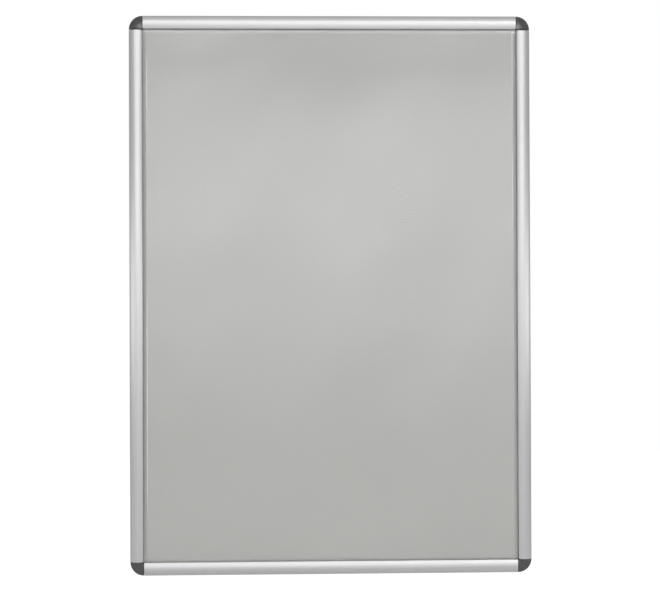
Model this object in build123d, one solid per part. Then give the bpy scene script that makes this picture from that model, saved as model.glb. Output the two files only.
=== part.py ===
from build123d import *
import math
import os

# Wall frame that clips one upright sheet of A0 paper behind a clear cover.
# Four extruded rails lie against the wall and plug onto a moulded connector in each corner.
# A convex snap bar hinges on the outer bead of each rail. Leaf springs in the rail hold it
# shut, and past their dead centre they hold it open, so that the sheet can be changed.
# A quarter-round cap covers each connector between the square-cut ends of two bars.
#
# The wall is the plane Y = 0, the front faces -Y, X runs to the right as seen from the
# front and Z runs up. The origin is the centre of the back, amid the four wall holes.
#
# Sections are drawn in u, inwards from the frame's outer edge, and v, forwards from the
# wall. Lengths are in millimetres and angles in degrees.

# Paper
poster_width = 841.0
poster_height = 1189.0

# Crown: the convex front that the bars and the caps share
frame_depth = 15.0
shoulder_height = 8.6
lip_height = 11.4
crest_share = 0.53
shoulder_radius = 2.6
lip_cover = 4.5

# Base rail
floor_thickness = 1.5
neck_thickness = 1.0
bead_radius = 1.6
channel_width = 18.7
rib_thickness = 1.3
rib_rise = 0.7
rib_lip_width = 1.0
rib_lip_thickness = 0.8
rail_inner_radius = 0.5
drill_groove_width = 1.0
drill_groove_depth = 0.4

# Snap bar
bar_skin = 1.4
knuckle_wall = 1.3
knuckle_floor_gap = 0.5
hinge_gap = 0.1
neck_gap = 0.2
open_angle = 100.0
hook_height = 0.5
hook_thickness = 0.9
leg_thickness = 1.3
leg_setback = 1.3
toe_share = 0.45
foot_gap = 0.2
lip_radius_share = 0.42
bar_end_gap = 1.2
upright_rest_gap = 0.3

# Leaf springs
spring_thickness = 0.5
spring_toe = 0.8
spring_seat_gap = 0.15
spring_bow = 2.4
spring_length = 28.0
spring_pitch = 290.0

# Backing panel and clear cover sheet
panel_thickness = 3.0
panel_gap = 0.5
cover_gap = 1.0
cover_thickness = 0.8

# Wall holes
wall_hole_radius = 2.5
wall_hole_inset = 13.0
wall_hole_from_end = 90.0

# Corner connector
corner_overhang = 1.0
connector_wall = 1.5
tongue_length = 38.0
tongue_gap = 0.2
tongue_knuckle_gap = 0.7
tongue_tip_chamfer = 2.5
pocket_wall = 1.4
pocket_floor = 1.0
pockets_per_tongue = 3
boss_radius = 4.0
boss_rise = 1.0

# Corner cap
cap_skin = 1.8
cap_skirt = 1.7
cap_fit_gap = 0.2
cap_wall_gap = 0.5
cap_rib_gap = 0.4
cap_foot_width = 3.2
cap_gores = 14
cap_bands = 5
cap_inner_bands = 3
gusset_thickness = 1.2

# Corner screw
screw_radius = 1.4
screw_head_sides = 6
screw_head_radius = 2.3
screw_head_height = 1.5
screw_head_sink = 0.3
screw_bite = 3.5
screw_tip_gap = 0.5
screw_socket_gap = 0.6
screw_hole_gap = 0.15
screw_thread_gap = 0.05

# One overrun for every cut that has to pass clean through a face
overrun = 1.0

# Hinge: the pivot is one knuckle radius in from the outer edge
knuckle_inner_radius = bead_radius + hinge_gap
knuckle_radius = knuckle_inner_radius + knuckle_wall
hook_radius = knuckle_radius + hook_height
pivot_u = knuckle_radius
pivot_v = floor_thickness + knuckle_radius + knuckle_floor_gap

# The knuckle's two ends stop short of the neck, one when shut and the other when open
neck_half_angle = math.degrees(math.asin(neck_thickness / 2 / knuckle_inner_radius))
neck_gap_angle = math.degrees(neck_gap / knuckle_inner_radius)
knuckle_start = neck_half_angle + neck_gap_angle - 90
knuckle_end = 270 - neck_half_angle - neck_gap_angle - open_angle
hook_angle = math.degrees(hook_thickness / knuckle_radius)

# Lines of the section, from the outer edge inwards
neck_outer = pivot_u - neck_thickness / 2
neck_inner = pivot_u + neck_thickness / 2
rib_outer = neck_inner + channel_width
rib_inner = rib_outer + rib_thickness
panel_edge = rib_inner + panel_gap
cover_edge = rib_inner + cover_gap
bar_width = cover_edge + lip_cover
corner_size = bar_width + corner_overhang
leg_end = bar_width - leg_setback
leg_start = leg_end - leg_thickness

# Levels of the section, from the wall forwards
panel_front = floor_thickness + panel_thickness
cover_front = panel_front + cover_thickness
rib_top = cover_front + rib_rise
rib_lip_bottom = rib_top - rib_lip_thickness
tongue_top = rib_lip_bottom - tongue_gap
boss_top = rib_top + boss_rise
cap_side_bottom = rib_top + cap_rib_gap
foot_bottom = cover_front + foot_gap
screw_head_top = screw_head_sink + screw_head_height
screw_tip = boss_top + screw_bite

# The crown is two arcs that meet level at the crest. The bars have both arcs. The caps carry
# the outer one round the corner in flat facets, and stay level from the crest inwards.
crest_u = crest_share * bar_width
shoulder_drop = frame_depth - shoulder_height
lip_drop = frame_depth - lip_height
lip_run = bar_width - crest_u
shoulder_arc_radius = (crest_u**2 + shoulder_drop**2) / (2 * shoulder_drop)
lip_arc_radius = (lip_run**2 + lip_drop**2) / (2 * lip_drop)

# Overall size
outer_width = poster_width + 2 * cover_edge
outer_height = poster_height + 2 * cover_edge

# Sides and corners of the frame, as seen from the front
forward = Vector(0, -1, 0)
half_size = Vector(outer_width / 2, 0, outer_height / 2)
side_outward = {
    "top": Vector(0, 0, 1),
    "bottom": Vector(0, 0, -1),
    "left": Vector(-1, 0, 0),
    "right": Vector(1, 0, 0),
}
corner_outward = {
    "top_left": Vector(-1, 0, 1),
    "top_right": Vector(1, 0, 1),
    "bottom_left": Vector(-1, 0, -1),
    "bottom_right": Vector(1, 0, -1),
}
sides_with_wall_holes = ("left", "right")


def side_plane(side):
    """Plane of a side's section: x is u, y is v, and z runs along the side."""
    outward = side_outward[side]
    reach = abs(outward.dot(half_size))
    inward = outward * -1
    return Plane(origin=outward * reach, x_dir=inward, z_dir=inward.cross(forward))


def side_length(side):
    """Length of a side between the faces of its two corner pieces."""
    across = outer_width if side_outward[side].X == 0 else outer_height
    return across - 2 * corner_size


def corner_plane(corner):
    """Plane of a corner: x and y run inwards from its outer point, z forwards."""
    sign = corner_outward[corner]
    origin = Vector(sign.X * half_size.X, 0, sign.Z * half_size.Z)
    if sign.X * sign.Z > 0:
        x_dir = Vector(-sign.X, 0, 0)
    else:
        x_dir = Vector(0, 0, -sign.Z)
    return Plane(origin=origin, x_dir=x_dir, z_dir=forward)


def on_side(side, shape):
    return side_plane(side).location * shape


def on_corner(corner, shape):
    return corner_plane(corner).location * shape


def rectangle(start, end):
    """Rectangle between two opposite corners."""
    width = end[0] - start[0]
    height = end[1] - start[1]
    return Pos(start[0] + width / 2, start[1] + height / 2) * Rectangle(width, height)


def about_pivot(radius, angle):
    """Point of the section at a distance and an angle from the hinge's axis."""
    turn = math.radians(angle)
    return (pivot_u + radius * math.cos(turn), pivot_v + radius * math.sin(turn))


def ring_sector(inner_radius, outer_radius, start_angle, end_angle):
    """Part of a ring about the hinge's axis."""
    middle_angle = (start_angle + end_angle) / 2
    inner = [about_pivot(inner_radius, a) for a in (start_angle, middle_angle, end_angle)]
    outer = [about_pivot(outer_radius, a) for a in (start_angle, middle_angle, end_angle)]
    edges = ThreePointArc(*inner) + Line(inner[2], outer[2])
    edges += ThreePointArc(*outer) + Line(outer[0], inner[0])
    return make_face(edges)


def crown_point(u, sink):
    """Point of the crown at u, or of the surface that lies inside it by sink."""
    radius = shoulder_arc_radius if u < crest_u else lip_arc_radius
    rise = math.sqrt((radius - sink)**2 - (u - crest_u)**2)
    return (u, frame_depth - radius + rise)


def crown_region(sink, end_u, base_v):
    """Area under the crown, sunk by sink, out to end_u and down to base_v."""
    shoulder = crown_point(sink, sink)
    crest = crown_point(crest_u, sink)
    end = crown_point(end_u, sink)
    edges = Polyline((end_u, base_v), (sink, base_v), shoulder)
    edges += ThreePointArc(shoulder, crown_point((sink + crest_u) / 2, sink), crest)
    edges += ThreePointArc(crest, crown_point((crest_u + end_u) / 2, sink), end)
    edges += Line(end, (end_u, base_v))
    region = make_face(edges)
    return fillet(region.vertices().sort_by_distance(shoulder)[0], shoulder_radius - sink)


def cap_line(sink, bands):
    """Corner points of a cap's crown, from the edge of its shoulder to the corner's inner point."""
    shoulder = crown_point(sink, sink)
    slope = math.atan2(crest_u - sink, shoulder[1] + shoulder_arc_radius - frame_depth)
    cut = (shoulder_radius - sink) * math.tan(slope / 2)
    step = (crest_u - sink) / bands
    points = [(sink, shoulder[1] - cut)]
    points.append((sink + cut * math.cos(slope), shoulder[1] + cut * math.sin(slope)))
    points += [crown_point(sink + i * step, sink) for i in range(1, bands + 1)]
    points.append((corner_size, frame_depth - sink))
    return points


def rail_section():
    """Extrusion against the wall: floor, neck with bead, and the rib that locates the panel.

    A groove along the channel marks where the wall holes may be drilled.
    """
    floor = rectangle((neck_outer, 0), (bar_width, floor_thickness))
    neck = rectangle((neck_outer, 0), (neck_inner, pivot_v))
    bead = Pos(pivot_u, pivot_v) * Circle(bead_radius)
    rib = rectangle((rib_outer, 0), (rib_inner, rib_top))
    rib_lip = rectangle((rib_outer - rib_lip_width, rib_lip_bottom), (rib_inner, rib_top))
    half_groove = drill_groove_width / 2
    groove = make_face(Polyline(
        (wall_hole_inset - half_groove, floor_thickness),
        (wall_hole_inset, floor_thickness - drill_groove_depth),
        (wall_hole_inset + half_groove, floor_thickness),
        close=True))
    section = floor + neck + bead + rib + rib_lip - groove
    roots = [(neck_inner, floor_thickness), (rib_outer, floor_thickness)]
    inner_corners = [section.vertices().sort_by_distance(root)[0] for root in roots]
    return fillet(inner_corners, rail_inner_radius)


def bar_section():
    """Extrusion that snaps shut: convex skin, hinge knuckle with spring hook, and leg."""
    wall_bottom = about_pivot(knuckle_radius, knuckle_end)[1]
    hollow = crown_region(bar_skin, bar_width + overrun, wall_bottom - overrun)
    skin = crown_region(0, bar_width, wall_bottom) - hollow
    lip_corners = skin.vertices().filter_by_position(
        Axis.X, bar_width - hinge_gap, bar_width + hinge_gap)
    skin = fillet(lip_corners, lip_radius_share * bar_skin)
    knuckle = ring_sector(knuckle_inner_radius, knuckle_radius, knuckle_start, knuckle_end)
    hook = ring_sector(knuckle_inner_radius, hook_radius, knuckle_start, knuckle_start + hook_angle)
    root = rectangle((0, wall_bottom), (pivot_u, pivot_v + knuckle_radius))
    root -= Pos(pivot_u, pivot_v) * Circle(knuckle_inner_radius)
    leg = rectangle((leg_start, foot_bottom), (leg_end, frame_depth))
    toes = [leg.vertices().sort_by_distance((u, foot_bottom))[0] for u in (leg_start, leg_end)]
    leg = fillet(toes, toe_share * leg_thickness)
    inner_parts = (root + leg) & crown_region(bar_skin / 2, bar_width, 0)
    return skin + knuckle + hook + inner_parts


def spring_section():
    """Bowed leaf with folded toes, from the hook on the bar to the lip of the rib."""
    seat = spring_toe / 2 + spring_seat_gap
    reach = knuckle_radius + seat
    swing = math.degrees(seat / reach)
    bar_angle = knuckle_start + hook_angle + swing
    bar_end = Vector(*about_pivot(reach, bar_angle))
    rail_end = Vector(rib_outer - seat, rib_lip_bottom - seat)
    span = rail_end - bar_end
    middle = (bar_end + rail_end) / 2 + Vector(-span.Y, span.X).normalized() * spring_bow
    leaf = trace(ThreePointArc(bar_end, middle, rail_end), spring_thickness)
    toe = Rectangle(spring_toe, spring_toe)
    return leaf + Pos(*bar_end) * Rot(Z=bar_angle) * toe + Pos(*rail_end) * toe


def make_rail(side):
    rail = extrude(rail_section(), side_length(side) / 2, both=True)
    if side in sides_with_wall_holes:
        drill = Rot(X=90) * Cylinder(wall_hole_radius, floor_thickness + 2 * overrun)
        hole_z = outer_height / 2 - wall_hole_from_end
        for along in (-hole_z, hole_z):
            rail -= Pos(wall_hole_inset, floor_thickness / 2, along) * drill
    return on_side(side, rail)


def make_bar(side):
    """Bar between two corner caps. An upright bar has slid down in its gap, near the lower cap."""
    length = side_length(side) - 2 * bar_end_gap
    bar = on_side(side, extrude(bar_section(), length / 2, both=True))
    if side_outward[side].X == 0:
        return bar
    return Pos(0, 0, upright_rest_gap - bar_end_gap) * bar


def make_springs(side):
    """The springs of one side, evenly spaced along it."""
    leaf = extrude(spring_section(), spring_length / 2, both=True)
    count = round(side_length(side) / spring_pitch)
    step = side_length(side) / count
    places = [(i - (count - 1) / 2) * step for i in range(count)]
    return Compound(children=[on_side(side, Pos(0, 0, along) * leaf) for along in places])


def quarter_disc(radius):
    """Quarter disc about the corner piece's inner point, bulging to the outer one."""
    disc = Pos(corner_size, corner_size) * Circle(radius)
    return disc & rectangle((corner_size - radius, corner_size - radius), (corner_size, corner_size))


def slab(face, bottom, top):
    """Extrusion of a face in the corner's plane, between two levels."""
    return Pos(0, 0, bottom) * extrude(face, top - bottom)


# The tongue fills the rail's channel between the knuckle's sweep and the rib
tongue_start = pivot_u + hook_radius + tongue_knuckle_gap
tongue_end = rib_outer - rail_inner_radius - tongue_gap
tongue_reach = corner_size + tongue_length
boss_place = (tongue_start + tongue_end) / 2
rim_radius = corner_size - cap_skirt - cap_fit_gap


def tongue_outline():
    """Tongue along x from the rail's end face, seen from the front, with a tapered tip."""
    tip = tongue_reach - tongue_tip_chamfer
    return make_face(Polyline(
        (corner_size, tongue_start),
        (tip, tongue_start),
        (tongue_reach, tongue_start + tongue_tip_chamfer),
        (tongue_reach, tongue_end - tongue_tip_chamfer),
        (tip, tongue_end),
        (corner_size, tongue_end),
        close=True))


def tongue_pockets():
    """Pockets that leave the tongue as walls and cross ribs."""
    start = corner_size + pocket_wall
    end = tongue_reach - tongue_tip_chamfer - pocket_wall
    pitch = (end - start) / pockets_per_tongue
    pockets = []
    for i in range(pockets_per_tongue):
        near = (start + i * pitch, tongue_start + pocket_wall)
        far = (start + (i + 1) * pitch - pocket_wall, tongue_end - pocket_wall)
        pockets.append(slab(rectangle(near, far), floor_thickness + pocket_floor, tongue_top + overrun))
    return pockets


def swap_axes(shape):
    """Mirror a corner's shape in its diagonal, so that x becomes y."""
    diagonal = Plane(origin=(0, 0, 0), x_dir=(0, 0, 1), z_dir=(1, -1, 0))
    return mirror(shape, diagonal)


def make_connector():
    """Moulded tray with a tongue for each of the two rails and a boss for the cap's screw."""
    tray = slab(quarter_disc(rim_radius), 0, floor_thickness)
    rim = slab(quarter_disc(rim_radius) - quarter_disc(rim_radius - connector_wall), 0, rib_top)
    rib = slab(rectangle((rib_outer, rib_outer), (corner_size, rib_inner)), 0, rib_top)
    band = rectangle((0, tongue_start), (corner_size, tongue_end))
    root = slab(quarter_disc(rim_radius) & band, 0, tongue_top)
    tongue = slab(tongue_outline(), floor_thickness, tongue_top)
    for pocket in tongue_pockets():
        tongue -= pocket
    half = tray + rim + rib + root + tongue
    boss = Pos(boss_place, boss_place) * extrude(Circle(boss_radius), boss_top)
    counterbore = slab(Circle(screw_head_radius + screw_socket_gap), -overrun, screw_head_top)
    hole = slab(Circle(screw_radius + screw_hole_gap), 0, boss_top + overrun)
    return half + swap_axes(half) + boss - Pos(boss_place, boss_place) * (counterbore + hole)


def make_screw():
    """Hexagon-headed screw, from the back of the connector's boss into the cap's."""
    head = slab(RegularPolygon(screw_head_radius, screw_head_sides), screw_head_sink, screw_head_top)
    shank = slab(Circle(screw_radius), screw_head_top, screw_tip)
    return Pos(boss_place, boss_place) * (head + shank)


def crown_dome(sink, bands, base_v):
    """A cap's crown carried a quarter turn round the corner's inner point, as a fan of gores.

    A gore is the crown's section pushed along the chord of its share of the turn.
    """
    outline = Polyline((corner_size, 0), (sink, 0), *cap_line(sink, bands), close=True)
    region = make_face(outline) & rectangle((sink, base_v), (corner_size, frame_depth))
    section = Pos(corner_size, 0) * mirror(region, Plane.YZ)
    turn = 90 / cap_gores
    chord = Vector(0, 1, 0).rotate(Axis.Z, turn / 2)
    share = make_face(Polyline(
        (0, 0),
        (2 * corner_size, 0),
        (2 * corner_size, 2 * corner_size * math.tan(math.radians(turn))),
        close=True))
    gore = extrude(Plane.XZ.location * section, corner_size, dir=chord) & slab(share, 0, frame_depth)
    gores = [Rot(Z=180 + i * turn) * gore for i in range(cap_gores)]
    return Pos(corner_size, corner_size) * (gores[0] + gores[1:])


def make_cap():
    """Quarter-round cover: domed skin, skirt round the connector, foot on the cover sheet."""
    room = corner_size - cap_skin
    hollow = crown_dome(cap_skin, cap_inner_bands, cap_side_bottom)
    hollow = hollow & slab(rectangle((0, 0), (room, room)), 0, frame_depth)
    below = slab(quarter_disc(corner_size - cap_skirt), -overrun, cap_side_bottom)
    shell = crown_dome(0, cap_bands, cap_wall_gap) - hollow - below
    foot_start = corner_size - cap_foot_width
    foot = slab(rectangle((foot_start, foot_start), (corner_size, corner_size)),
                foot_bottom, cap_side_bottom + cap_skin)
    boss = Pos(boss_place, boss_place, boss_top) * extrude(Circle(boss_radius), frame_depth - boss_top)
    half_gusset = gusset_thickness / 2
    gusset = slab(rectangle((0, boss_place - half_gusset), (room, boss_place + half_gusset)),
                  boss_top + gusset_thickness, frame_depth)
    inner_parts = boss + gusset + swap_axes(gusset)
    inner_parts = inner_parts & crown_dome(cap_skin / 2, cap_inner_bands, cap_side_bottom)
    pilot = slab(Circle(screw_radius + screw_thread_gap), boss_top - overrun, screw_tip + screw_tip_gap)
    return shell + foot + inner_parts - Pos(boss_place, boss_place) * pilot


def make_panel():
    size = (outer_width - 2 * panel_edge, panel_thickness, outer_height - 2 * panel_edge)
    return Pos(0, -(floor_thickness + panel_thickness / 2), 0) * Box(*size)


def make_cover():
    return Pos(0, -(panel_front + cover_thickness / 2), 0) * Box(
        poster_width, cover_thickness, poster_height)


def export(shape, node):
    export_step(shape, f"parts/{node}.step")


os.makedirs("parts", exist_ok=True)

for side in side_outward:
    export(make_rail(side), f"base_rail_{side}")
    export(make_bar(side), f"snap_bar_{side}")
    export(make_springs(side), f"springs_{side}")

connector = make_connector()
cap = make_cap()
screw = make_screw()
for corner in corner_outward:
    export(on_corner(corner, connector), f"corner_connector_{corner}")
    export(on_corner(corner, cap), f"corner_cap_{corner}")
export(Compound(children=[on_corner(corner, screw) for corner in corner_outward]), "corner_screws")

export(make_panel(), "back_panel")
export(make_cover(), "cover_sheet")
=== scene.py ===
import math

import bmesh
import bpy
from mathutils import Matrix, Vector, noise


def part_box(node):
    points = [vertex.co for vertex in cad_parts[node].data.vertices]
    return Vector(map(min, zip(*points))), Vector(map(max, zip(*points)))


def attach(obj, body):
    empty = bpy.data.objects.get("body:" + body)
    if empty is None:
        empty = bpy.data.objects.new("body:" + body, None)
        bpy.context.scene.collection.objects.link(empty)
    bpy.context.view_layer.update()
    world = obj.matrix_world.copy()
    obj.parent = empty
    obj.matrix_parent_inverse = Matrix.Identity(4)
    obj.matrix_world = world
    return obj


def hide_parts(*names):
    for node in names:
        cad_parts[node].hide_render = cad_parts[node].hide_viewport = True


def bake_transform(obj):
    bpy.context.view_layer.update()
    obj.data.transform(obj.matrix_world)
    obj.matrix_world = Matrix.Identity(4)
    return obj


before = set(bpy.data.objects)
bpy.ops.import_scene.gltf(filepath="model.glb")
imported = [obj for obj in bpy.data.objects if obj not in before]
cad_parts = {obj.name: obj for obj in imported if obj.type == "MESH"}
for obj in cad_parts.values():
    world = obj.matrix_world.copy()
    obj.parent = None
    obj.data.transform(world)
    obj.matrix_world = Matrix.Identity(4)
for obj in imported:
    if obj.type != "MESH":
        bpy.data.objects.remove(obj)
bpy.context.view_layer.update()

# A snap-open wall frame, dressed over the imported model. The bars, caps, springs and clear
# sheet are modelled here again with round surfaces, and the other nodes get their materials.
# Sections are drawn in u, inwards from the frame's outer edge, and v, forwards from the wall.

mm = 0.001

# Crown of the bars and caps
bar_width = 29.0 * mm
frame_depth = 15.0 * mm
shoulder_height = 8.6 * mm
lip_height = 11.4 * mm
crest_u = 15.37 * mm
shoulder_radius = 2.6 * mm
bar_skin = 1.4 * mm
lip_rounding = 0.58 * mm

# Hinge knuckle, hook and leg of the bars, with angles in degrees
pivot_u = 3.0 * mm
pivot_v = 5.0 * mm
knuckle_inner_radius = 1.7 * mm
knuckle_radius = 3.0 * mm
hook_radius = 3.5 * mm
hook_span = 17.19
knuckle_start = -66.15
knuckle_end = 146.15
leg_start = 26.4 * mm
leg_end = 27.7 * mm
foot_bottom = 5.5 * mm
toe_radius = 0.5 * mm
end_bevel = 0.2 * mm

# Corner caps
corner_size = 30.0 * mm
cap_wall_gap = 0.5 * mm
cap_skirt = 1.7 * mm
cap_side_bottom = 6.4 * mm
cap_foot_width = 3.2 * mm
cap_foot_overlap = 0.5 * mm
cap_edge_bevel = 0.35 * mm
cap_steps = 36
cap_axis_tolerance = 1e-9

# Leaf springs
springs_on_side = {"top": 3, "bottom": 3, "left": 4, "right": 4}
spring_length = 28.0 * mm
spring_thickness = 0.5 * mm
spring_roll_radius = 0.4 * mm
spring_roll_half_turn = 130
spring_bow = 2.4 * mm
spring_bar_seat = (5.72 * mm, 2.5 * mm)
spring_rail_seat = (21.65 * mm, 4.65 * mm)

# Clear sheet
panel_front = 4.5 * mm
sheet_thickness = 0.8 * mm
sheet_end_margin = 9.0 * mm
sheet_still_margin = 120.0 * mm
sheet_bulge = 1.0 * mm
sheet_wave = 2.4 * mm
sheet_settling = 0.6 * mm
sheet_cell = 8.0 * mm

# Its waves: how many to a metre across and along their lean, place in the noise, and share
sheet_lean_cosine, sheet_lean_sine = 0.86, 0.51
sheet_waves = ((5.5, 2.2, 0.3, 1.0), (9.0, 5.0, 4.7, 0.45))

# The sheet is bent up along its left and right margins, and a crease ends each bend
bent_margin = 12.6 * mm
crease_width = 2.4 * mm
bent_margin_shares = (0, 0.2, 0.36, 0.5, 0.65, 0.8, 0.92, 1, 1.08, 1.25, 1.6, 2)

# Degrees of an arc to one of its steps, steps to a rounding, and angle of a sharp edge
shoulder_step = 6
crown_step = 3
lip_step = 2
knuckle_step = 8
leaf_step = 1.6
roll_step = 26
rounding_steps = 4
sharp_angle = 35

# Crown's two arcs, which meet level at the crest
shoulder_drop = frame_depth - shoulder_height
lip_drop = frame_depth - lip_height
lip_run = bar_width - crest_u
lip_arc_radius = (lip_run**2 + lip_drop**2) / (2 * lip_drop)
lip_arc_v = frame_depth - lip_arc_radius

# Frame's outline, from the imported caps
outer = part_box("corner_cap_top_right")[1]
forward = Vector((0, -1, 0))
side_outward = {
    "top": Vector((0, 0, 1)),
    "bottom": Vector((0, 0, -1)),
    "left": Vector((-1, 0, 0)),
    "right": Vector((1, 0, 0)),
}
corner_outward = {
    "top_left": Vector((-1, 0, 1)),
    "top_right": Vector((1, 0, 1)),
    "bottom_left": Vector((-1, 0, -1)),
    "bottom_right": Vector((1, 0, -1)),
}


def axes(origin, x_dir, y_dir):
    """Matrix from a drawing's axes to the frame's."""
    z_dir = x_dir.cross(y_dir)
    matrix = Matrix((x_dir, y_dir, z_dir)).transposed().to_4x4()
    matrix.translation = origin
    return matrix


def side_axes(side):
    """Axes of a side: x is u, y is v and z runs along the side."""
    outward = side_outward[side]
    return axes(outward * abs(outward.dot(outer)), -outward, forward)


def corner_axes(corner):
    """Axes of a corner: x and y run inwards from its outer point, z forwards."""
    sign = corner_outward[corner]
    origin = Vector((sign.x * outer.x, 0, sign.z * outer.z))
    across = Vector((-sign.x, 0, 0))
    up = Vector((0, 0, -sign.z))
    return axes(origin, across, up) if sign.x * sign.z > 0 else axes(origin, up, across)


# Outlines

def arc(centre, radius, start, end, step):
    """Points of an arc, its angles in degrees."""
    count = max(2, math.ceil(abs(end - start) / step))
    turns = [math.radians(start + (end - start) * i / count) for i in range(count + 1)]
    return [(centre[0] + radius * math.cos(t), centre[1] + radius * math.sin(t)) for t in turns]


def shoulder_arc(crest):
    """Radius of the arc from the shoulder to a crest, and height of the shoulder's rounding."""
    radius = (crest**2 + shoulder_drop**2) / (2 * shoulder_drop)
    rise = math.sqrt((radius - shoulder_radius)**2 - (crest - shoulder_radius)**2)
    return radius, frame_depth - radius + rise


def shoulder_line(sink, crest):
    """A crown, sunk by sink, from the wall below its shoulder to its crest."""
    radius, rounding_v = shoulder_arc(crest)
    turn = math.degrees(math.atan2(rounding_v + radius - frame_depth, shoulder_radius - crest))
    line = arc((shoulder_radius, rounding_v), shoulder_radius - sink, 180, turn, shoulder_step)
    return line + arc((crest, frame_depth - radius), radius - sink, turn, 90, crown_step)[1:]


def crown_line(sink):
    """The crown of a bar, sunk by sink, from the wall below its shoulder to its lip."""
    end_angle = math.degrees(math.acos(lip_run / (lip_arc_radius - sink)))
    lip = arc((crest_u, lip_arc_v), lip_arc_radius - sink, 90, end_angle, lip_step)
    return shoulder_line(sink, crest_u) + lip[1:]


def under_lip(u):
    """Point of the skin's underside between the crest and the lip."""
    return u, lip_arc_v + math.sqrt((lip_arc_radius - bar_skin)**2 - (u - crest_u)**2)


def rounded(before, corner, after, radius):
    """Points that round a corner between two straight neighbours."""
    a, b, c = (Vector(p) for p in (before, corner, after))
    to_a, to_c = (a - b).normalized(), (c - b).normalized()
    half = to_a.angle(to_c) / 2
    reach = radius / math.tan(half)
    centre = b + (to_a + to_c).normalized() * (radius / math.sin(half))
    start, end = b + to_a * reach - centre, b + to_c * reach - centre
    points = []
    for i in range(rounding_steps + 1):
        turn = start.lerp(end, i / rounding_steps)
        points.append(tuple(centre + turn.normalized() * radius))
    return points


def about_pivot(radius, start, end):
    return arc((pivot_u, pivot_v), radius, start, end, knuckle_step)


def bar_outline():
    """Closed section of a bar: crown, rounded lip, leg, then the knuckle with its hook."""
    top = crown_line(0)
    under = crown_line(bar_skin)[::-1]
    lip_top, lip_under = top[-1], under[0]
    line = top[:-1] + rounded(top[-2], lip_top, lip_under, lip_rounding)
    line += rounded(lip_top, lip_under, under[1], lip_rounding)
    foot_right, foot_left = (leg_end, foot_bottom), (leg_start, foot_bottom)
    line += [p for p in under[1:] if p[0] > leg_end] + [under_lip(leg_end)]
    line += rounded((leg_end, lip_height), foot_right, foot_left, toe_radius)
    line += rounded(foot_right, foot_left, (leg_start, lip_height), toe_radius)
    line.append(under_lip(leg_start))
    root_top = pivot_v + knuckle_radius
    line += [p for p in under if p[0] < leg_start and p[1] > root_top]
    root_sine = (root_top - shoulder_arc(crest_u)[1]) / (shoulder_radius - bar_skin)
    root_u = shoulder_radius - (shoulder_radius - bar_skin) * math.sqrt(1 - root_sine**2)
    line.append((root_u, root_top))
    hook_end = knuckle_start + hook_span
    line += about_pivot(knuckle_radius, 90, hook_end)
    line += about_pivot(hook_radius, hook_end, knuckle_start)
    line += about_pivot(knuckle_inner_radius, knuckle_start, knuckle_end)
    wall_end = about_pivot(knuckle_radius, knuckle_end, knuckle_end)[0]
    return line + [wall_end, (0, wall_end[1])]


def spring_outline():
    """Bowed leaf with rolled ends, from the hook on the bar to the lip of the rail's rib."""
    start, end = Vector(spring_bar_seat), Vector(spring_rail_seat)
    span = end - start
    side = Vector((-span.y, span.x)).normalized()
    middle = (start + end) / 2 + side * spring_bow
    radius = (span.length**2 / 4 + spring_bow**2) / (2 * spring_bow)
    centre = middle - side * radius
    first, last = (math.degrees(math.atan2(*(p - centre).yx)) for p in (start, end))
    half = spring_thickness / 2
    line = arc(centre, radius + half, first, last, leaf_step)[1:-1]
    line += arc(end, spring_roll_radius, last + spring_roll_half_turn,
                last - spring_roll_half_turn, roll_step)
    line += arc(centre, radius - half, last, first, leaf_step)[1:-1]
    line += arc(start, spring_roll_radius, first - 180 + spring_roll_half_turn,
                first - 180 - spring_roll_half_turn, roll_step)
    return line


# Meshes

def new_piece(name, mesh, material):
    """Object from a bmesh, smooth but for its sharp edges."""
    bmesh.ops.recalc_face_normals(mesh, faces=mesh.faces)
    data = bpy.data.meshes.new(name)
    mesh.to_mesh(data)
    mesh.free()
    data.shade_smooth()
    data.set_sharp_from_angle(angle=math.radians(sharp_angle))
    piece = bpy.data.objects.new(name, data)
    bpy.context.scene.collection.objects.link(piece)
    piece.data.materials.append(material)
    return piece


def add_prism(mesh, outline, start, end):
    """Extrudes a closed outline along z, and returns the edges of its two ends."""
    rings = [[mesh.verts.new((*p, z)) for p in outline] for z in (start, end)]
    count = len(outline)
    for i in range(count):
        j = (i + 1) % count
        mesh.faces.new((rings[0][i], rings[0][j], rings[1][j], rings[1][i]))
    ends = [mesh.faces.new(ring) for ring in rings]
    return [edge for face in ends for edge in face.edges]


def make_bar(side, material):
    matrix = side_axes(side)
    along = matrix.col[2].xyz
    start, end = sorted(corner.dot(along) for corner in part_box(f"snap_bar_{side}"))
    mesh = bmesh.new()
    ends = add_prism(mesh, bar_outline(), start, end)
    bmesh.ops.bevel(mesh, geom=ends, offset=end_bevel, segments=2, profile=0.5, affect="EDGES",
                    clamp_overlap=True)
    mesh.transform(matrix)
    piece = new_piece(f"bar_{side}", mesh, material)
    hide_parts(f"snap_bar_{side}")
    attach(piece, f"{side}_bar")


def make_springs(side, material):
    """The springs of one side, evenly spaced. Their outer ends sit at the bar's hook."""
    low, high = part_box(f"springs_{side}")
    span = max(high - low) - spring_length
    count = springs_on_side[side]
    mesh = bmesh.new()
    for i in range(count):
        along = span * (i / (count - 1) - 0.5)
        add_prism(mesh, spring_outline(), along - spring_length / 2, along + spring_length / 2)
    matrix = side_axes(side)
    mesh.transform(matrix)
    piece = new_piece(f"leaf_springs_{side}", mesh, material)
    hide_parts(f"springs_{side}")
    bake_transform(piece)


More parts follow.
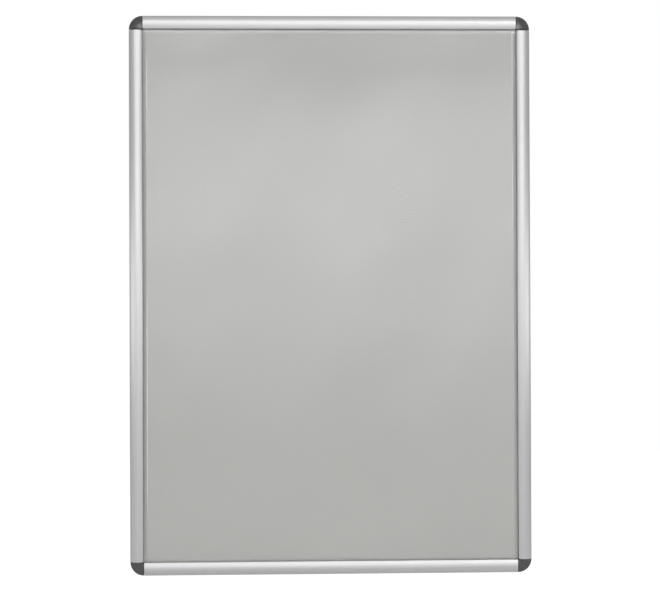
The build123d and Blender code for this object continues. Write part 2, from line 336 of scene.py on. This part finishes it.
def make_cap(corner, material, painted_shade_end_material):
    """A shallow dome about the corner's inner point, over a skirt. Its end faces take the blacker
    connector plastic, a painted shade at its joints with the bars.
    """
    inside = [(corner_size, cap_side_bottom), (cap_skirt, cap_side_bottom),
              (cap_skirt, cap_wall_gap)]
    profile = [(0, cap_wall_gap)] + shoulder_line(0, corner_size) + inside
    mesh = bmesh.new()
    axis_verts = {i: mesh.verts.new((corner_size, corner_size, v))
                  for i, (u, v) in enumerate(profile) if abs(u - corner_size) < cap_axis_tolerance}
    rings = []
    for k in range(cap_steps + 1):
        turn = math.radians(90 * k / cap_steps)
        ring = []
        for i, (u, v) in enumerate(profile):
            reach = corner_size - u
            place = (corner_size - reach * math.cos(turn),
                     corner_size - reach * math.sin(turn), v)
            ring.append(axis_verts.get(i) or mesh.verts.new(place))
        rings.append(ring)
    for a, b in zip(rings, rings[1:]):
        for i in range(len(profile)):
            j = (i + 1) % len(profile)
            # A face that ends on the axis has three corners, and one along it is left out
            corners = list(dict.fromkeys((a[i], b[i], b[j], a[j])))
            if len(corners) > 2:
                mesh.faces.new(corners)
    # Painted shade: the end faces get the blacker plastic, so the joints with the bars read
    # darker.
    flats = [mesh.faces.new(rings[0]), mesh.faces.new(rings[-1])]
    for face in flats:
        face.material_index = 1
    on_axis = set(axis_verts.values())
    rims = [edge for face in flats for edge in face.edges
            if all(v.co.z > cap_side_bottom and v not in on_axis for v in edge.verts)]
    bmesh.ops.bevel(mesh, geom=rims, offset=cap_edge_bevel, segments=3, profile=0.5,
                    affect="EDGES")
    foot_start = corner_size - cap_foot_width
    foot = [(foot_start, foot_start), (corner_size, foot_start), (corner_size, corner_size),
            (foot_start, corner_size)]
    add_prism(mesh, foot, foot_bottom, cap_side_bottom + cap_foot_overlap)
    mesh.transform(corner_axes(corner))
    piece = new_piece(f"cap_{corner}", mesh, material)
    piece.data.materials.append(painted_shade_end_material)
    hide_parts(f"corner_cap_{corner}")
    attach(piece, "frame_base")


def eased(value):
    """Smooth step from 0 to 1."""
    share = min(max(value, 0), 1)
    return share * share * (3 - 2 * share)


def sheet_height(x, z, half_width, half_height):
    """How far the clear sheet stands off the panel, with slow waves away from its edges."""
    side_inset = half_width - abs(x)
    end_inset = half_height - abs(z)
    across = sheet_lean_cosine * x - sheet_lean_sine * z
    along = sheet_lean_sine * x + sheet_lean_cosine * z
    wave = sum(share * noise.noise(Vector((per_across * across, per_along * along, place)))
               for per_across, per_along, place, share in sheet_waves)
    # Where a hollow of the waves would reach the panel, the sheet lies on it
    lift = 2 * sheet_bulge + sheet_wave * wave
    settled = (lift + math.hypot(lift, sheet_settling)) / 2
    bent = min(side_inset / bent_margin, 1) * eased(end_inset / sheet_end_margin)
    swell = eased(side_inset / sheet_still_margin) * eased(end_inset / sheet_still_margin)
    return sheet_bulge * bent * (1 - swell) + settled * swell


def sheet_columns(half_width):
    """Places across the sheet, closer together over its bent margins."""
    margins = [half_width - share * bent_margin for share in bent_margin_shares]
    inner = margins[-1]
    count = round(2 * inner / sheet_cell)
    middle = [inner * (1 - 2 * i / count) for i in range(1, count)]
    return [-x for x in margins] + middle[::-1] + margins[::-1]


def make_sheet(material):
    """Two wavy faces, joined round their rims."""
    half_width, _, half_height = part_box("cover_sheet")[1]
    places = sheet_columns(half_width)
    columns = len(places) - 1
    rows = round(2 * half_height / sheet_cell)
    mesh = bmesh.new()
    rims = []
    for depth in (panel_front, panel_front + sheet_thickness):
        grid = []
        for row in range(rows + 1):
            z = half_height * (2 * row / rows - 1)
            grid.append([
                mesh.verts.new((x, -depth - sheet_height(x, z, half_width, half_height), z))
                for x in places])
        for row in range(rows):
            for column in range(columns):
                mesh.faces.new((grid[row][column], grid[row][column + 1],
                                grid[row + 1][column + 1], grid[row + 1][column]))
        rim = grid[0][:-1] + [line[-1] for line in grid[:-1]]
        rims.append(rim + grid[-1][:0:-1] + [line[0] for line in grid[:0:-1]])
    for i in range(len(rims[0])):
        j = (i + 1) % len(rims[0])
        mesh.faces.new((rims[0][i], rims[0][j], rims[1][j], rims[1][i]))
    piece = new_piece("clear_sheet", mesh, material)
    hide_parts("cover_sheet")
    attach(piece, "frame_base")


# Materials

class Nodes:
    """Short calls for building a node tree."""

    def __init__(self, tree):
        self.tree = tree

    def add(self, kind, inputs=None, **settings):
        node = self.tree.nodes.new(kind)
        for key, value in settings.items():
            setattr(node, key, value)
        for key, value in (inputs or {}).items():
            if isinstance(value, bpy.types.NodeSocket):
                self.tree.links.new(value, node.inputs[key])
            else:
                node.inputs[key].default_value = value
        return node

    def link(self, source, target):
        self.tree.links.new(source, target)

    def maths(self, operation, *values):
        return self.add("ShaderNodeMath", dict(enumerate(values)), operation=operation).outputs[0]

    def seen(self):
        """1 for rays that show a thing, straight, in a reflection or through another."""
        path = self.add("ShaderNodeLightPath").outputs
        either = self.maths("MAXIMUM", path["Is Camera Ray"], path["Is Glossy Ray"])
        return self.maths("MAXIMUM", either, path["Is Transmission Ray"])

    def place(self):
        """Position on the object, in metres."""
        return self.add("ShaderNodeTexCoord").outputs["Object"]

    def along(self, axis):
        """Position on the object along one axis."""
        return self.add("ShaderNodeSeparateXYZ", {0: self.place()}).outputs[axis]

    def noise(self, per_metre, detail=2.0, roughness=0.5):
        """Noise with so many waves to a metre, along every axis or along each."""
        scale = per_metre if isinstance(per_metre, tuple) else (per_metre,) * 3
        mapped = self.add("ShaderNodeMapping", {"Vector": self.place(), "Scale": scale})
        texture = self.add("ShaderNodeTexNoise", {
            "Vector": mapped.outputs["Vector"], "Scale": 1.0, "Detail": detail,
            "Roughness": roughness})
        return texture.outputs["Fac"]

    def ranged(self, value, low, high, from_low=0.25, from_high=0.75):
        node = self.add("ShaderNodeMapRange", {
            "Value": value, "From Min": from_low, "From Max": from_high,
            "To Min": low, "To Max": high}, interpolation_type="SMOOTHSTEP")
        return node.outputs["Result"]

    def mixed(self, factor, first, second):
        node = self.add("ShaderNodeMix", data_type="RGBA")
        self.link(factor, node.inputs[0])
        for socket, value in ((node.inputs[6], first), (node.inputs[7], second)):
            if isinstance(value, bpy.types.NodeSocket):
                self.link(value, socket)
            else:
                socket.default_value = (*value, 1)
        return node.outputs[2]

    def bump(self, height, distance, strength, normal=None):
        inputs = {"Height": height, "Distance": distance, "Strength": strength}
        if normal is not None:
            inputs["Normal"] = normal
        return self.add("ShaderNodeBump", inputs).outputs["Normal"]


class Surface(Nodes):
    """Nodes of a new material."""

    def __init__(self, name):
        self.material = bpy.data.materials.new(name)
        self.material.use_nodes = True
        super().__init__(self.material.node_tree)
        self.shader = self.tree.nodes["Principled BSDF"]
        self.output = self.tree.nodes["Material Output"]

    def give(self, **inputs):
        """Links or sets the shader's inputs, named with _ for a space."""
        for name, value in inputs.items():
            socket = self.shader.inputs[name.replace("_", " ")]
            if isinstance(value, bpy.types.NodeSocket):
                self.link(value, socket)
            else:
                socket.default_value = value


def aluminium(name, along):
    """Satin anodised extrusion, with faint drawing lines along one axis."""
    nodes = Surface(name)

    def lines_of(pitch, run, detail):
        scale = [1 / pitch] * 3
        scale["XYZ".index(along)] = 1 / run
        return nodes.noise(tuple(scale), detail, roughness=0.6)

    fine_lines = lines_of(pitch=0.35 * mm, run=160 * mm, detail=3.0)
    broad_lines = lines_of(pitch=3.2 * mm, run=900 * mm, detail=1.0)
    grain = nodes.noise(per_metre=5200.0)
    clouds = nodes.noise(per_metre=7.0, detail=3.0)
    fine_dark, fine_light = (0.298, 0.297, 0.297), (0.334, 0.333, 0.333)
    broad_dark = (0.286, 0.285, 0.288)
    cloud_dark = (0.300, 0.299, 0.302)
    tone = nodes.mixed(nodes.ranged(fine_lines, 0.0, 1.0), fine_dark, fine_light)
    tone = nodes.mixed(nodes.ranged(broad_lines, 0.0, 0.5), tone, broad_dark)
    colour = nodes.mixed(nodes.ranged(clouds, 0.0, 0.3), tone, cloud_dark)
    normal = nodes.bump(fine_lines, distance=0.02 * mm, strength=0.3)
    normal = nodes.bump(grain, distance=0.01 * mm, strength=0.3, normal=normal)
    across = nodes.add("ShaderNodeTangent", direction_type="RADIAL", axis=along)
    nodes.give(Base_Color=colour, Roughness=nodes.ranged(fine_lines, 0.32, 0.40), Normal=normal,
               Tangent=across.outputs["Tangent"], Anisotropic=0.6, Metallic=0.95,
               Specular_Tint=(0.5, 0.5, 0.5, 1))
    return nodes.material


def moulded_plastic(name, dark, light, specular):
    """Moulded plastic with a fine spark-eroded texture, between two tones."""
    nodes = Surface(name)
    spark = nodes.noise(per_metre=2400.0, detail=3.0, roughness=0.6)
    mottle = nodes.noise(per_metre=380.0, detail=3.0, roughness=0.65)
    share = nodes.ranged(mottle, 0.0, 1.0, from_low=0.35, from_high=0.65)
    tone = nodes.mixed(share, dark, light)
    normal = nodes.bump(mottle, distance=0.25 * mm, strength=0.5)
    normal = nodes.bump(spark, distance=0.06 * mm, strength=0.5, normal=normal)
    nodes.give(Base_Color=tone, Roughness=nodes.ranged(spark, 0.18, 0.28), Normal=normal,
               Specular_IOR_Level=specular)
    return nodes.material


def panel_board():
    """Light grey board, faintly mottled. Its lighter clouds are a random tone and also a painted
    reflection, and painted shade darkens it towards its top.
    """
    nodes = Surface("panel_board_grey")
    clouds = nodes.noise(per_metre=2.6, detail=4.0, roughness=0.55)
    fleck = nodes.noise(per_metre=1600.0)
    # Painted shade: the top tone is darker, standing in for the top bar's shadow and a dimmer
    # reflection in the sheet near the top.
    lower, painted_shade_top = (0.356, 0.356, 0.343), (0.292, 0.292, 0.289)
    # Painted reflection with some random tone: lighter clouds that stand in for the sheet's soft
    # cloudy reflections.
    painted_reflection_cloud_light = (0.382, 0.381, 0.374)
    fleck_dark = (0.323, 0.322, 0.315)
    height = nodes.ranged(nodes.along("Z"), 0.0, 1.0, from_low=-outer.z, from_high=outer.z)
    base = nodes.mixed(height, lower, painted_shade_top)
    base = nodes.mixed(nodes.ranged(clouds, 0.0, 0.25), base, painted_reflection_cloud_light)
    colour = nodes.mixed(nodes.ranged(fleck, 0.0, 0.25), base, fleck_dark)
    nodes.give(Base_Color=colour, Roughness=nodes.ranged(fleck, 0.55, 0.7),
               Normal=nodes.bump(fleck, distance=0.03 * mm, strength=0.4))
    return nodes.material


def clear_plastic():
    """Anti-glare sheet: see-through, with a soft reflection that its waves break up.

    Its bent side margins are tinted darker, a painted shade for the bars' shadow beside them, and
    their creases catch the light in places.
    """
    nodes = Surface("clear_cover_antiglare")
    # The margin tint is painted shade: it darkens the see-through margins beside the side bars.
    clear_tint, painted_shade_margin_tint = (0.975, 0.975, 0.972), (0.93, 0.93, 0.928)
    mirror_tint = (0.96, 0.96, 0.96, 1)
    crease_colour = (0.85, 0.85, 0.84, 1)
    crease_strength = 0.2
    low_reflection_ior = 1.37

    haze = nodes.noise(per_metre=3.2, detail=3.0)
    micro = nodes.noise(per_metre=1800.0)
    normal = nodes.bump(micro, distance=0.001 * mm, strength=0.3)
    mirror = nodes.add("ShaderNodeBsdfGlossy", {
        "Color": mirror_tint, "Roughness": nodes.ranged(haze, 0.14, 0.17), "Normal": normal})

    across = nodes.maths("ABSOLUTE", nodes.along("X"))
    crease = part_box("cover_sheet")[1].x - bent_margin
    blur = 0.3 * crease_width
    # Mask of the painted shade along the bent margins
    painted_shade_margin = nodes.ranged(across, 0.0, 1.0, from_low=crease - blur, from_high=crease + blur)
    tint = nodes.mixed(painted_shade_margin, clear_tint, painted_shade_margin_tint)
    see_through = nodes.add("ShaderNodeBsdfTransparent", {"Color": tint})

    off_crease = nodes.maths("SUBTRACT", across, crease - crease_width / 2)
    off_crease = nodes.maths("ABSOLUTE", off_crease)
    line = nodes.ranged(off_crease, 1.0, 0.0,
                        from_low=0.2 * crease_width, from_high=0.6 * crease_width)
    patches = nodes.noise(per_metre=(1.3, 1.3, 4.5), detail=1.0)
    patches = nodes.ranged(patches, 0.0, crease_strength, from_low=0.45, from_high=0.65)
    scatter = nodes.maths("MULTIPLY", line, patches)
    milky = nodes.add("ShaderNodeBsdfDiffuse", {"Color": crease_colour, "Normal": normal})
    body = nodes.add("ShaderNodeMixShader", {
        0: scatter, 1: see_through.outputs[0], 2: milky.outputs[0]})

    fresnel = nodes.add("ShaderNodeFresnel", {"IOR": low_reflection_ior})
    mix = nodes.add("ShaderNodeMixShader", {
        0: fresnel.outputs[0], 1: body.outputs[0], 2: mirror.outputs[0]})
    nodes.link(mix.outputs[0], nodes.output.inputs["Surface"])
    return nodes.material


def steel(name, colour):
    """Bright rolled steel."""
    nodes = Surface(name)
    grain = nodes.noise(per_metre=1500.0, detail=3.0)
    darker = tuple(0.85 * c for c in colour)
    nodes.give(Base_Color=nodes.mixed(nodes.ranged(grain, 0.0, 1.0), darker, colour),
               Roughness=nodes.ranged(grain, 0.32, 0.46),
               Normal=nodes.bump(grain, distance=0.02 * mm, strength=0.3), Metallic=0.8)
    return nodes.material


# Studio

world_colour = (0.985, 0.983, 1, 1)
world_level = 0.75

floor_drop = 0.25
floor_size = 9.0
floor_colour = (0.9, 0.9, 0.9, 1)
floor_roughness = 0.9
floor_seen_glow = 0.35

camera_distance = 3.0
camera_aim = Vector((-0.0015, 0, -0.0006))
camera_yaw, camera_pitch, camera_roll = -1.617, 0.340, 0.218
camera_lens = 73.535
camera_sensor = 36.0

# Softboxes behind the camera: middle's height, height and level. Their light falls off in steps
# down the clear sheet. They stand a little apart, as lamps in one plane hide one another's
# reflections.
front_softboxes = {
    "front_softbox": (0.75, 1.07, 0.75),
    "front_softbox_tall": (0.43, 1.24, 1.05),
    "front_softbox_wide": (0.2, 1.5, 0.6),
    "front_softbox_low": (0.05, 1.8, 0.4),
}
front_x, front_y = 0.15, -3.3
front_width = 2.5
front_pitch = 0.03

# Smaller lights, whose reflections cloud the clear sheet: x, z, width and height
front_patches = {
    "left": (-0.52, 0.42, 0.46, 0.26),
    "middle": (-0.23, 0.74, 0.18, 0.2),
    "right_low": (0.12, 0.3, 0.24, 0.34),
    "right_high": (0.34, 0.7, 0.26, 0.34),
}
patch_y = -3.2
patch_level = 0.7

# Point above the frame's middle, at which the upper lamps and the small ones are aimed
upper_aim = (0, 0, 0.2)


def make_world():
    """White where it is seen, straight or in a reflection, and a plain level as a light."""
    world = bpy.data.worlds.new("studio")
    bpy.context.scene.world = world
    world.use_nodes = True
    nodes = Nodes(world.node_tree)
    white = nodes.tree.nodes["Background"]
    white.inputs["Color"].default_value = (1, 1, 1, 1)
    light = nodes.add("ShaderNodeBackground", {"Color": world_colour, "Strength": world_level})
    mix = nodes.add("ShaderNodeMixShader", {
        0: nodes.seen(), 1: light.outputs[0], 2: white.outputs[0]})
    nodes.link(mix.outputs[0], nodes.tree.nodes["World Output"].inputs["Surface"])


def make_floor():
    data = bpy.data.meshes.new("floor")
    z = -outer.z - floor_drop
    half = floor_size / 2
    corners = [(-half, -half, z), (half, -half, z), (half, half, z), (-half, half, z)]
    data.from_pydata(corners, [], [(0, 1, 2, 3)])
    floor = bpy.data.objects.new("floor", data)
    bpy.context.scene.collection.objects.link(floor)
    nodes = Surface("floor_pale")
    glow = nodes.maths("MULTIPLY", nodes.seen(), floor_seen_glow)
    nodes.give(Base_Color=floor_colour, Roughness=floor_roughness, Specular_IOR_Level=0.0,
               Emission_Color=(1, 1, 1, 1), Emission_Strength=glow)
    floor.data.materials.append(nodes.material)


def make_lamp(name, place, aim, size, level):
    """Softbox whose face looks level times as bright as the white background."""
    lamp = bpy.data.lights.new(name, "AREA")
    lamp.shape = "RECTANGLE"
    lamp.size, lamp.size_y = size
    lamp.energy = level * math.pi * size[0] * size[1]
    holder = bpy.data.objects.new(name, lamp)
    holder.location = place
    direction = Vector(aim) - Vector(place)
    holder.rotation_euler = direction.to_track_quat("-Z", "Y").to_euler()
    bpy.context.scene.collection.objects.link(holder)


def make_lamps():
    make_lamp("upper_softbox", (0.15, -3.1, 1.9), upper_aim, (2.8, 1.1), 3.6)
    for row, (name, (z, height, level)) in enumerate(front_softboxes.items()):
        place = (front_x, front_y - front_pitch * row, z)
        make_lamp(name, place, (0, 0, z), (front_width, height), level)
    for name, (x, z, width, height) in front_patches.items():
        make_lamp(f"front_patch_{name}", (x, patch_y, z), upper_aim, (width, height), patch_level)
    make_lamp("left_head", (-1.5, -3.3, 1.8), upper_aim, (0.5, 0.5), 12.0)
    make_lamp("right_head", (1.4, -3.3, 1.8), upper_aim, (0.5, 0.5), 12.5)
    make_lamp("ceiling_softbox", (0.1, -1.2, 3.4), (0, -0.6, 0), (2.6, 1.8), 0.45)
    make_lamp("left_softbox", (-2.5, -1.9, 0.0), (0, 0, 0), (2.6, 0.5), 2.9)
    make_lamp("right_softbox", (2.5, -1.9, 0.0), (0, 0, 0), (2.6, 0.5), 3.4)


def make_camera():
    data = bpy.data.cameras.new("camera")
    data.sensor_width = camera_sensor
    data.lens = camera_lens
    turn = Matrix.Rotation(math.radians(camera_yaw), 3, "Z")
    turn = turn @ Matrix.Rotation(math.radians(camera_pitch), 3, "X")
    turn = turn @ Matrix.Rotation(math.radians(camera_roll), 3, "Y")
    right, ahead, up = turn.col[0], turn.col[1], turn.col[2]
    camera = bpy.data.objects.new("camera", data)
    bpy.context.scene.collection.objects.link(camera)
    matrix = Matrix((right, up, -ahead)).transposed().to_4x4()
    matrix.translation = camera_aim - ahead * camera_distance
    camera.matrix_world = matrix
    bpy.context.scene.camera = camera


def assign(material, name):
    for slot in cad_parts[name].material_slots:
        slot.material = material


make_camera()
make_world()
make_floor()
make_lamps()

metal_across = aluminium("anodised_aluminium_across", along="X")
metal_upright = aluminium("anodised_aluminium_upright", along="Z")
cap_plastic = moulded_plastic("corner_plastic_grey", dark=(0.008, 0.008, 0.010),
                              light=(0.036, 0.036, 0.041), specular=0.5)
connector_plastic = moulded_plastic("corner_plastic_black", dark=(0.008, 0.008, 0.009),
                                    light=(0.016, 0.016, 0.017), specular=0.2)
sides_metal = {"top": metal_across, "bottom": metal_across,
               "left": metal_upright, "right": metal_upright}
spring_metal = steel("spring_steel_bright", (0.40, 0.41, 0.42))

for side, metal in sides_metal.items():
    make_bar(side, metal)
    make_springs(side, spring_metal)
    assign(metal, f"base_rail_{side}")
for corner in corner_outward:
    make_cap(corner, cap_plastic, connector_plastic)
    assign(connector_plastic, f"corner_connector_{corner}")
make_sheet(clear_plastic())
assign(panel_board(), "back_panel")
assign(steel("screw_steel_zinc", (0.48, 0.48, 0.49)), "corner_screws")

bpy.context.scene.view_settings.view_transform = "Standard"
